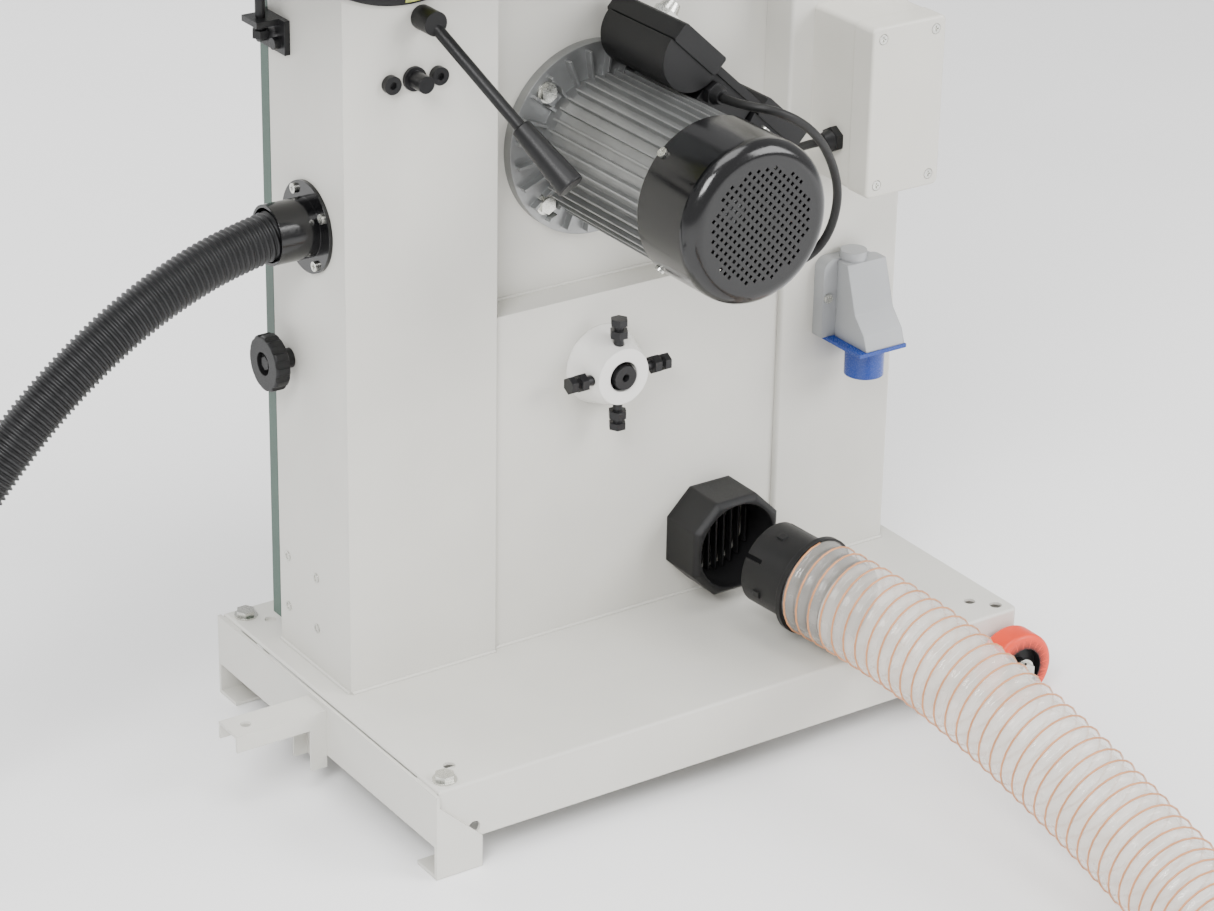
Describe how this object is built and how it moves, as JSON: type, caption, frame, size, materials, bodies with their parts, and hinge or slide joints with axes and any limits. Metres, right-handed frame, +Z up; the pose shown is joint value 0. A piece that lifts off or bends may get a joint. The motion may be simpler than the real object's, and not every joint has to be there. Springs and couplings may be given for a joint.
{
  "type": "cabinet bandsaw",
  "caption": "Floor-standing cabinet bandsaw with doors, tilting table, rear motor, wheeled base and two dust hoses, one drawn off its port.",
  "frame": {"origin": "on the floor, under the centre of the machine's bounding box without its hoses and cable", "axes": "+Z up; doors and operator at -Y, motor at +Y; column at -X, table and blade at +X"},
  "size_m": [1.6277, 1.6168, 1.868],
  "materials": {
    "cream_paint": "fine-textured powder coat, cream",
    "green_paint": "smooth powder coat, dark green",
    "grey_steel": "powder coat, light grey",
    "zinc": "bright zinc plate",
    "black_oxide": "black oxide",
    "steel": "ground and turned steel",
    "spring_steel": "rolled blade steel",
    "cast_iron": "planed top, painted sides",
    "wheel_iron": "painted casting",
    "motor_aluminium": "die cast and extruded, bare",
    "boss_enamel": "glossy off-white enamel",
    "black_plastic": "moulded, satin black",
    "gloss_black": "gloss black cowl",
    "cream_plastic": "moulded, pale grey-cream",
    "grey_plastic": "moulded, light grey",
    "blue_plastic": "moulded, bright blue",
    "red_plastic": "moulded red",
    "green_plastic": "moulded green",
    "tyre_rubber": "bonded black rubber",
    "roller_tread": "orange-red tread on a black core",
    "belt_rubber": "ribbed belt",
    "hose_black": "ribbed black flexible hose",
    "cable_black": "round rubber cable",
    "hose_clear": "clear polyurethane wall with a copper-coloured steel helix"
  },
  "bodies": {
    "frame": {"base_plate": "cream_paint", "lift_bracket": "cream_paint", "hex_bolts": "zinc", "lower_cabinet": "cream_paint", "column": "cream_paint", "upper_wheel_box": "cream_paint", "hinge_leaves": "grey_steel", "lower_wheel_shaft": "black_oxide", "hub_boss": "boss_enamel", "hub_adjusting_bolts": "black_oxide", "drive_belt": "belt_rubber", "motor_flange": "motor_aluminium", "motor_housing": "motor_aluminium", "fan_cover": "gloss_black", "terminal_box": "black_plastic", "small_screws": "zinc", "cable_glands": "black_plastic", "control_box": "cream_plastic", "control_box_lid": "cream_plastic", "inlet_housing": "grey_plastic", "inlet_shroud": "blue_plastic", "dust_port": "black_plastic", "quick_connector": "black_plastic", "side_port": "black_plastic", "wall_fittings": "zinc", "tilt_stop_bracket": "black_oxide", "trunnion_cradle": "cast_iron", "blade": "spring_steel", "lower_guide": "black_oxide", "switch_box": "black_plastic", "side_hose": "hose_black", "clear_hose": "hose_clear", "side_hose_cuff": "hose_black", "clear_hose_cuff": "black_plastic", "motor_cable": "cable_black"},
    "lower_door": {"lower_door": "green_paint"},
    "upper_door": {"upper_door": "green_paint"},
    "lower_door_knob": {"lower_door_knob": "black_plastic"},
    "upper_door_knob": {"upper_door_knob": "black_plastic"},
    "lower_wheel": {"lower_wheel": "wheel_iron", "lower_wheel_tyre": "tyre_rubber", "lower_wheel_bearings": "steel"},
    "motor_rotor": {"rotor_shaft": "steel", "motor_pulley": "wheel_iron", "cooling_fan": "black_plastic"},
    "table": {"table": "cast_iron", "table_trunnion": "cast_iron"},
    "tilt_lock_lever": {"tilt_lock_lever": "black_oxide"},
    "guide_post": {"guide_post": "steel", "upper_guide": "black_oxide"},
    "guide_handwheel": {"guide_handwheel": "black_plastic"},
    "tension_handwheel": {"tension_handwheel": "black_plastic"},
    "tension_slide": {"upper_shaft_carrier": "cast_iron"},
    "upper_wheel": {"upper_wheel": "wheel_iron", "upper_wheel_tyre": "tyre_rubber", "upper_wheel_bearings": "steel"},
    "rear_roller": {"rear_roller": "roller_tread"},
    "front_roller": {"front_roller": "roller_tread"},
    "start_button": {"start_button": "green_plastic"},
    "stop_button": {"stop_button": "red_plastic"}
  },
  "joints": [
    {"name": "lower_door_swing", "type": "hinge", "parent": "frame", "child": "lower_door", "pos_m": [-0.40875, -0.09575, 0.45], "axis": [0, 0, -1], "range_deg": [0, 110]},
    {"name": "upper_door_swing", "type": "hinge", "parent": "frame", "child": "upper_door", "pos_m": [-0.40875, -0.09575, 1.6], "axis": [0, 0, -1], "range_deg": [0, 110]},
    {"name": "lower_door_knob_turn", "type": "hinge", "parent": "frame", "child": "lower_door_knob", "pos_m": [0.29725, -0.05625, 0.421], "axis": [1, 0, 0], "range_deg": [0, 720]},
    {"name": "upper_door_knob_turn", "type": "hinge", "parent": "frame", "child": "upper_door_knob", "pos_m": [0.29725, -0.05625, 1.604], "axis": [1, 0, 0], "range_deg": [0, 720]},
    {"name": "lower_wheel_spin", "type": "hinge", "parent": "frame", "child": "lower_wheel", "pos_m": [-0.03075, -0.05725, 0.384], "axis": [0, 1, 0], "continuous": true},
    {"name": "motor_spin", "type": "hinge", "parent": "frame", "child": "motor_rotor", "pos_m": [-0.03575, 0.04775, 0.617], "axis": [0, 1, 0], "continuous": true},
    {"name": "upper_wheel_spin", "type": "hinge", "parent": "tension_slide", "child": "upper_wheel", "pos_m": [-0.03075, -0.05725, 1.60836], "axis": [0, 1, 0], "continuous": true},
    {"name": "tension_handwheel_turn", "type": "hinge", "parent": "frame", "child": "tension_handwheel", "pos_m": [-0.03075, 0.03275, 1.3], "axis": [0, 0, 1], "range_deg": [-4500, 0]},
    {"name": "tension_slide_lift", "type": "slide", "parent": "frame", "child": "tension_slide", "axis": [0, 0, 1], "range_m": [-0.025, 0]},
    {"name": "table_tilt", "type": "hinge", "parent": "frame", "child": "table", "pos_m": [0.19825, -0.05725, 0.955], "axis": [0, 1, 0], "range_deg": [-5, 45]},
    {"name": "tilt_lock_turn", "type": "hinge", "parent": "frame", "child": "tilt_lock_lever", "pos_m": [0.18325, 0.06775, 0.789], "axis": [0, 1, 0], "range_deg": [-30, 60]},
    {"name": "guide_post_slide", "type": "slide", "parent": "frame", "child": "guide_post", "axis": [0, 0, 1], "range_m": [-0.1, 0.19]},
    {"name": "guide_handwheel_turn", "type": "hinge", "parent": "frame", "child": "guide_handwheel", "pos_m": [0.27725, -0.02925, 1.43], "axis": [1, 0, 0], "range_deg": [-681, 359]},
    {"name": "rear_roller_spin", "type": "hinge", "parent": "frame", "child": "rear_roller", "pos_m": [-0.40075, 0.28175, 0.04], "axis": [0, 1, 0], "continuous": true},
    {"name": "front_roller_spin", "type": "hinge", "parent": "frame", "child": "front_roller", "pos_m": [-0.40075, -0.18625, 0.04], "axis": [0, 1, 0], "continuous": true},
    {"name": "start_button_press", "type": "slide", "parent": "frame", "child": "start_button", "axis": [0, 1, 0], "range_m": [0, 0.003], "stiffness_N_per_m": 400, "springref_m": -0.002},
    {"name": "stop_button_press", "type": "slide", "parent": "frame", "child": "stop_button", "axis": [0, 1, 0], "range_m": [0, 0.003], "stiffness_N_per_m": 400, "springref_m": -0.002}
  ],
  "couplings": [
    {"joint": "upper_wheel_spin", "follows": "lower_wheel_spin", "ratio": 1},
    {"joint": "motor_spin", "follows": "lower_wheel_spin", "ratio": 2.4889},
    {"joint": "tension_handwheel_turn", "follows": "tension_slide_lift", "rad_per_m": 3141.6},
    {"joint": "guide_handwheel_turn", "follows": "guide_post_slide", "rad_per_m": -62.5}
  ]
}
